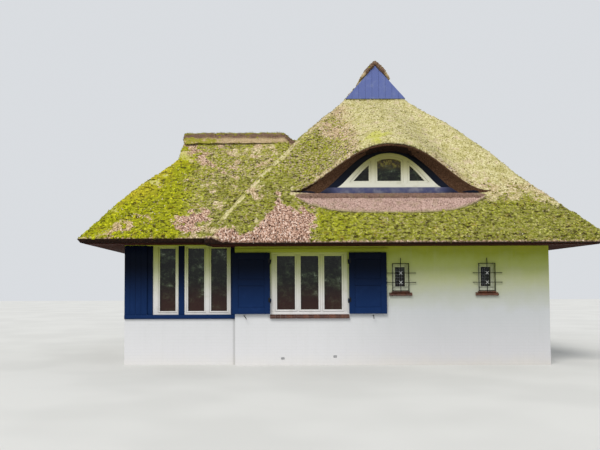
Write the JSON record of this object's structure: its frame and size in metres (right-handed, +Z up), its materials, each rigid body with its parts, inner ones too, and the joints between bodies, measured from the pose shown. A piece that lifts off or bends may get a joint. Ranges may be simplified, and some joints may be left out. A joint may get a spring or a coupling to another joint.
{
  "type": "thatched cottage",
  "caption": "Thatched cottage with a hipped main roof, an eyebrow dormer, a lower side wing, white walls and a pair of hinged navy shutters.",
  "frame": {"origin": "on the underside of the main floor at ground level, below the main ridge and midway between the front and back walls", "axes": "+X along the front wall to the right as seen from the front, +Y from front to back, +Z up"},
  "size_m": [10.125, 9.7, 7.0214],
  "materials": {
    "wall": "limewashed render, matt",
    "thatch": "weathered reed with moss",
    "heather": "matt heather sods",
    "cream_paint": "satin paint",
    "navy_paint": "satin paint",
    "glass": "clear",
    "brick": "hard burnt, slightly glazed",
    "iron": "black paint",
    "floor_screed": "matt",
    "pine_boards": "bare",
    "lintel_paint": "paint"
  },
  "bodies": {
    "house": {"main_front_wall": "wall", "main_back_wall": "wall", "main_east_wall": "wall", "main_west_wall": "wall", "wing_front_wall": "wall", "wing_west_wall": "wall", "wing_back_wall": "wall", "main_thatch": "thatch", "wing_thatch": "thatch", "main_ridge": "heather", "wing_ridge": "heather", "dormer_window_frame": "cream_paint", "main_window_frame": "cream_paint", "left_small_window_frame": "cream_paint", "right_small_window_frame": "cream_paint", "wing_window_frame": "cream_paint", "back_window_frame": "cream_paint", "east_window_frame": "cream_paint", "west_window_frame": "cream_paint", "front_gablet": "navy_paint", "back_gablet": "navy_paint", "dormer_board": "navy_paint", "wing_corner_panel": "navy_paint", "wing_window_sill": "navy_paint", "east_door": "navy_paint", "dormer_window_glass": "glass", "main_window_glass": "glass", "left_small_window_glass": "glass", "right_small_window_glass": "glass", "wing_window_glass": "glass", "back_window_glass": "glass", "east_window_glass": "glass", "west_window_glass": "glass", "main_window_sill": "brick", "left_small_sill": "brick", "right_small_sill": "brick", "left_grille": "iron", "right_grille": "iron", "left_lower_pintle": "iron", "left_upper_pintle": "iron", "right_lower_pintle": "iron", "right_upper_pintle": "iron", "ground_floor": "floor_screed", "attic_floor": "pine_boards", "lintel_board": "lintel_paint"},
    "left_shutter_body": {"left_shutter": "navy_paint"},
    "right_shutter_body": {"right_shutter": "navy_paint"}
  },
  "joints": [
    {"name": "left_shutter_hinge", "type": "hinge", "parent": "house", "child": "left_shutter_body", "pos_m": [-2.585, -4.344, 1.64], "axis": [0, 0, 1], "range_deg": [0, 180]},
    {"name": "right_shutter_hinge", "type": "hinge", "parent": "house", "child": "right_shutter_body", "pos_m": [-1.039, -4.344, 1.64], "axis": [0, 0, -1], "range_deg": [0, 180]}
  ]
}
